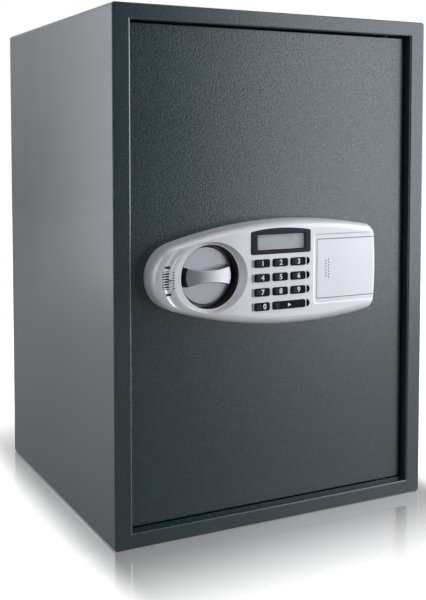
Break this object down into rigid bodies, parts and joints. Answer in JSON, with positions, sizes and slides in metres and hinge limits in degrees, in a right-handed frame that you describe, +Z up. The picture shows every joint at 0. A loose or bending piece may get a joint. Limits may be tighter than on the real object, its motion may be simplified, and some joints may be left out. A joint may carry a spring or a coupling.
{
  "type": "furniture safe",
  "caption": "Floor-standing sheet steel furniture safe with a recessed hinged door, a silver lock panel with turning knob, keypad, display and battery cover, and sliding locking bolts.",
  "frame": {"origin": "centre of the cabinet's underside, on the surface it stands on", "axes": "+Z up, -Y out of the door's front, +X to the right seen from the front"},
  "size_m": [0.35, 0.3512, 0.5],
  "materials": {
    "cabinet_paint": "fine textured powder coat",
    "felt": "needled felt",
    "steel": "turned steel",
    "zinc_plate": "zinc plated steel",
    "silver_panel": "satin silver painted plastic",
    "silver_knob": "satin metallic silver plastic",
    "display_frame": "gloss",
    "display_glass": "clear",
    "display_block": "grey green liquid crystal",
    "circuit_board": "green solder mask",
    "dome_rubber": "matt silicone rubber",
    "key_black": "satin rubber",
    "black_plastic": "moulded",
    "cell_wrap": "shrink wrap",
    "brass": "turned brass",
    "coil_tape": "amber tape",
    "lock_metal": "nickel plated",
    "reset_red": "gloss"
  },
  "bodies": {
    "cabinet": {"body_wrap": "cabinet_paint", "back_panel": "cabinet_paint", "front_frame": "cabinet_paint", "frame_bushes": "cabinet_paint", "door_stops": "cabinet_paint", "shelf": "cabinet_paint", "shelf_rails": "cabinet_paint", "floor_mat": "felt"},
    "door": {"door_plate": "cabinet_paint", "hinge_pins": "steel", "hinge_blocks": "cabinet_paint", "hinge_washer": "steel", "faceplate_housing": "silver_panel", "faceplate_screws": "zinc_plate", "lcd_bezel": "display_frame", "lcd_window": "display_glass", "lcd_module": "display_block", "keypad_board": "circuit_board", "key_domes": "dome_rubber", "battery_tray": "black_plastic", "battery_cells": "cell_wrap", "battery_contacts": "zinc_plate", "shaft_bush": "brass", "bolt_guide": "zinc_plate", "guide_studs": "zinc_plate", "guide_nuts": "zinc_plate", "solenoid_bracket": "zinc_plate", "solenoid_coil": "coil_tape", "plunger_spring": "steel", "control_board": "circuit_board", "welded_posts": "zinc_plate", "harness": "black_plastic", "override_lock_body": "lock_metal", "override_nut": "zinc_plate", "lock_cover": "cabinet_paint", "cover_screws": "zinc_plate", "reset_switch": "black_plastic"},
    "bolt_carriage": {"bolt_carriage": "zinc_plate", "locking_bolts": "steel", "bolt_nuts": "zinc_plate"},
    "knob": {"knob": "silver_knob", "knob_shaft": "steel", "drive_cam": "zinc_plate"},
    "solenoid_plunger": {"solenoid_plunger": "steel"},
    "reset_button": {"reset_button": "reset_red"},
    "battery_cover": {"battery_cover": "silver_panel"},
    "override_plug": {"override_plug": "brass", "override_cam": "lock_metal"},
    "key_1": {"key_1": "key_black"},
    "key_2": {"key_2": "key_black"},
    "key_3": {"key_3": "key_black"},
    "key_4": {"key_4": "key_black"},
    "key_5": {"key_5": "key_black"},
    "key_6": {"key_6": "key_black"},
    "key_7": {"key_7": "key_black"},
    "key_8": {"key_8": "key_black"},
    "key_9": {"key_9": "key_black"},
    "key_0": {"key_0": "key_black"},
    "key_start": {"key_start": "key_black"}
  },
  "joints": [
    {"name": "door_swing", "type": "hinge", "parent": "cabinet", "child": "door", "pos_m": [0.136, -0.1485, 0.25], "axis": [0, 0, 1], "range_deg": [0, 100]},
    {"name": "bolt_slide", "type": "slide", "parent": "door", "child": "bolt_carriage", "axis": [-1, 0, 0], "range_m": [0, 0.014]},
    {"name": "knob_turn", "type": "hinge", "parent": "door", "child": "knob", "pos_m": [-0.084, -0.16, 0.25], "axis": [0, -1, 0], "range_deg": [0, 90]},
    {"name": "plunger_rise", "type": "slide", "parent": "door", "child": "solenoid_plunger", "axis": [0, 0, 1], "range_m": [0, 0.005], "deforming": ["plunger_spring"]},
    {"name": "reset_press", "type": "slide", "parent": "door", "child": "reset_button", "axis": [0, -1, 0], "range_m": [0, 0.002], "stiffness_N_per_m": 500},
    {"name": "battery_cover_slide", "type": "slide", "parent": "door", "child": "battery_cover", "axis": [1, 0, 0], "range_m": [0, 0.008]},
    {"name": "override_turn", "type": "hinge", "parent": "door", "child": "override_plug", "pos_m": [0.062, -0.14, 0.25], "axis": [0, -1, 0], "range_deg": [0, 90]},
    {"name": "key_1_press", "type": "slide", "parent": "door", "child": "key_1", "axis": [0, 1, 0], "range_m": [0, 0.001], "stiffness_N_per_m": 600},
    {"name": "key_2_press", "type": "slide", "parent": "door", "child": "key_2", "axis": [0, 1, 0], "range_m": [0, 0.001], "stiffness_N_per_m": 600},
    {"name": "key_3_press", "type": "slide", "parent": "door", "child": "key_3", "axis": [0, 1, 0], "range_m": [0, 0.001], "stiffness_N_per_m": 600},
    {"name": "key_4_press", "type": "slide", "parent": "door", "child": "key_4", "axis": [0, 1, 0], "range_m": [0, 0.001], "stiffness_N_per_m": 600},
    {"name": "key_5_press", "type": "slide", "parent": "door", "child": "key_5", "axis": [0, 1, 0], "range_m": [0, 0.001], "stiffness_N_per_m": 600},
    {"name": "key_6_press", "type": "slide", "parent": "door", "child": "key_6", "axis": [0, 1, 0], "range_m": [0, 0.001], "stiffness_N_per_m": 600},
    {"name": "key_7_press", "type": "slide", "parent": "door", "child": "key_7", "axis": [0, 1, 0], "range_m": [0, 0.001], "stiffness_N_per_m": 600},
    {"name": "key_8_press", "type": "slide", "parent": "door", "child": "key_8", "axis": [0, 1, 0], "range_m": [0, 0.001], "stiffness_N_per_m": 600},
    {"name": "key_9_press", "type": "slide", "parent": "door", "child": "key_9", "axis": [0, 1, 0], "range_m": [0, 0.001], "stiffness_N_per_m": 600},
    {"name": "key_0_press", "type": "slide", "parent": "door", "child": "key_0", "axis": [0, 1, 0], "range_m": [0, 0.001], "stiffness_N_per_m": 600},
    {"name": "key_start_press", "type": "slide", "parent": "door", "child": "key_start", "axis": [0, 1, 0], "range_m": [0, 0.001], "stiffness_N_per_m": 600}
  ],
  "couplings": [
    {"joint": "knob_turn", "follows": "bolt_slide", "rad_per_m": 112.2}
  ]
}
